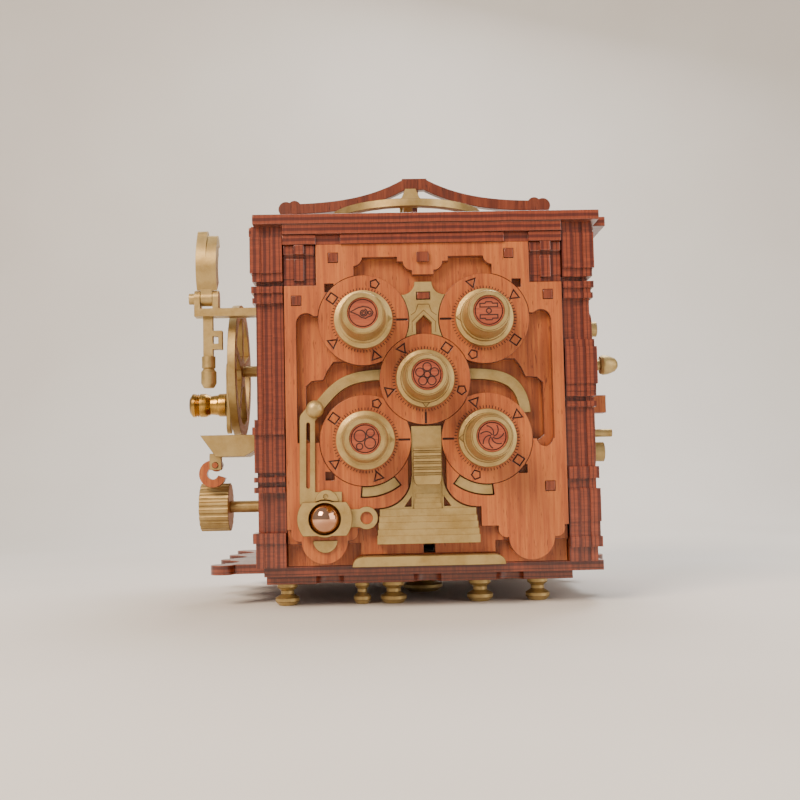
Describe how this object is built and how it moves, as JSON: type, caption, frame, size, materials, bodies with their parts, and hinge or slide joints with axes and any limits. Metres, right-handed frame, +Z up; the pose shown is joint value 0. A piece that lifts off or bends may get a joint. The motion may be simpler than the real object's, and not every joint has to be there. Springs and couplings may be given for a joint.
{
  "type": "dial-coded puzzle box",
  "caption": "Laminated plywood cube with coded dials on its face, a drawer that leaves through the back, a crank wheel, a roller and a crown ring.",
  "frame": {"origin": "centre of the underside of the centre foot", "axes": "+Z up; the dial face looks along -Y; +X is to the right of a person who faces the dials"},
  "size_m": [0.1944, 0.1664, 0.191],
  "materials": {
    "stained_ply": "orange-brown stained laser-cut plywood, satin varnish",
    "dark_ply": "burnt plywood edges, dark red-brown, glossy varnish",
    "gold_ply": "pale gold satin paint on plywood and turned wood",
    "cap_wood": "red-brown wood with burnt engraving",
    "brass": "turned brass, lightly worn",
    "steel": "plain drawn steel",
    "polished_ball": "polished bearing ball"
  },
  "bodies": {
    "box": {"base_plate": "dark_ply", "feet": "gold_ply", "front_step": "gold_ply", "front_wall": "stained_ply", "middle_panel": "stained_ply", "upper_panel": "stained_ply", "dial_plate_centre": "stained_ply", "dial_plates_corner": "stained_ply", "left_wall": "stained_ply", "right_wall": "stained_ply", "back_frame": "stained_ply", "top_plate": "dark_ply", "cornice": "dark_ply", "pilaster_left": "dark_ply", "pilaster_right": "dark_ply", "rear_posts": "dark_ply", "console_blocks": "dark_ply", "neck_plate": "gold_ply", "track_arms": "gold_ply", "slotted_link": "gold_ply", "cradle_plates": "gold_ply", "stair_plinth": "gold_ply", "drawer_runners": "dark_ply", "detent_springs": "steel", "fork_bracket": "gold_ply", "trough": "gold_ply", "crown_arms": "stained_ply", "crown_stand": "gold_ply", "right_rack": "dark_ply", "tenon_caps": "dark_ply"},
    "dial_tl": {"dial_tl_knob": "gold_ply", "dial_tl_cap": "cap_wood", "dial_tl_spindle": "steel"},
    "dial_tr": {"dial_tr_knob": "gold_ply", "dial_tr_cap": "cap_wood", "dial_tr_spindle": "steel"},
    "dial_c": {"dial_c_knob": "gold_ply", "dial_c_cap": "cap_wood", "dial_c_spindle": "steel"},
    "dial_bl": {"dial_bl_knob": "gold_ply", "dial_bl_cap": "cap_wood", "dial_bl_spindle": "steel"},
    "dial_br": {"dial_br_knob": "gold_ply", "dial_br_cap": "cap_wood", "dial_br_spindle": "steel"},
    "drawer": {"drawer_tray": "stained_ply", "drawer_front": "stained_ply", "drawer_back": "stained_ply", "drawer_claws": "brass", "drawer_pull": "gold_ply"},
    "slider": {"stair_slider": "gold_ply"},
    "cradle": {"ball_cradle": "gold_ply"},
    "ball": {"ball": "polished_ball"},
    "handwheel": {"handwheel": "gold_ply"},
    "grip": {"crank_grip": "brass"},
    "roller": {"roller": "gold_ply"},
    "lever": {"fork_lever": "gold_ply"},
    "hook": {"left_hook": "stained_ply"},
    "crown_ring": {"top_ring": "gold_ply"},
    "button": {"push_peg": "gold_ply"}
  },
  "joints": [
    {"name": "dial_tl_turn", "type": "hinge", "parent": "box", "child": "dial_tl", "pos_m": [-0.02425, -0.07, 0.1151], "axis": [0, -1, 0], "continuous": true},
    {"name": "dial_tr_turn", "type": "hinge", "parent": "box", "child": "dial_tr", "pos_m": [0.02425, -0.07, 0.1151], "axis": [0, -1, 0], "continuous": true},
    {"name": "dial_c_turn", "type": "hinge", "parent": "box", "child": "dial_c", "pos_m": [0, -0.07, 0.091], "axis": [0, -1, 0], "continuous": true},
    {"name": "dial_bl_turn", "type": "hinge", "parent": "box", "child": "dial_bl", "pos_m": [-0.02425, -0.07, 0.0669], "axis": [0, -1, 0], "continuous": true},
    {"name": "dial_br_turn", "type": "hinge", "parent": "box", "child": "dial_br", "pos_m": [0.02425, -0.07, 0.0669], "axis": [0, -1, 0], "continuous": true},
    {"name": "drawer_slide", "type": "slide", "parent": "box", "child": "drawer", "axis": [0, 1, 0], "range_m": [0, 0.07]},
    {"name": "slider_slide", "type": "slide", "parent": "box", "child": "slider", "axis": [0, 0, 1], "range_m": [-0.0024, 0.007]},
    {"name": "cradle_turn", "type": "hinge", "parent": "box", "child": "cradle", "pos_m": [-0.0408, -0.07, 0.0362], "axis": [0, -1, 0], "range_deg": [-45, 45]},
    {"name": "ball_roll", "type": "hinge", "parent": "cradle", "child": "ball", "pos_m": [-0.0408, -0.0712, 0.0362], "axis": [0, 0, 1], "continuous": true},
    {"name": "wheel_turn", "type": "hinge", "parent": "box", "child": "handwheel", "pos_m": [-0.08, -0.01, 0.101], "axis": [-1, 0, 0], "continuous": true},
    {"name": "grip_spin", "type": "hinge", "parent": "handwheel", "child": "grip", "pos_m": [-0.095, -0.01, 0.086], "axis": [-1, 0, 0], "continuous": true},
    {"name": "roller_turn", "type": "hinge", "parent": "box", "child": "roller", "pos_m": [-0.09, -0.024, 0.0405], "axis": [-1, 0, 0], "continuous": true},
    {"name": "lever_tilt", "type": "hinge", "parent": "box", "child": "lever", "pos_m": [-0.0915, -0.038, 0.13], "axis": [1, 0, 0], "range_deg": [-25, 25]},
    {"name": "hook_swing", "type": "hinge", "parent": "box", "child": "hook", "pos_m": [-0.0884, -0.035, 0.0586], "axis": [0, -1, 0], "range_deg": [-35, 35]},
    {"name": "ring_turn", "type": "hinge", "parent": "box", "child": "crown_ring", "pos_m": [-0.004, 0, 0.1717], "axis": [0, 0, 1], "continuous": true},
    {"name": "button_push", "type": "slide", "parent": "box", "child": "button", "axis": [-1, 0, 0], "range_m": [0, 0.0035], "stiffness_N_per_m": 300, "springref_m": -0.001}
  ]
}
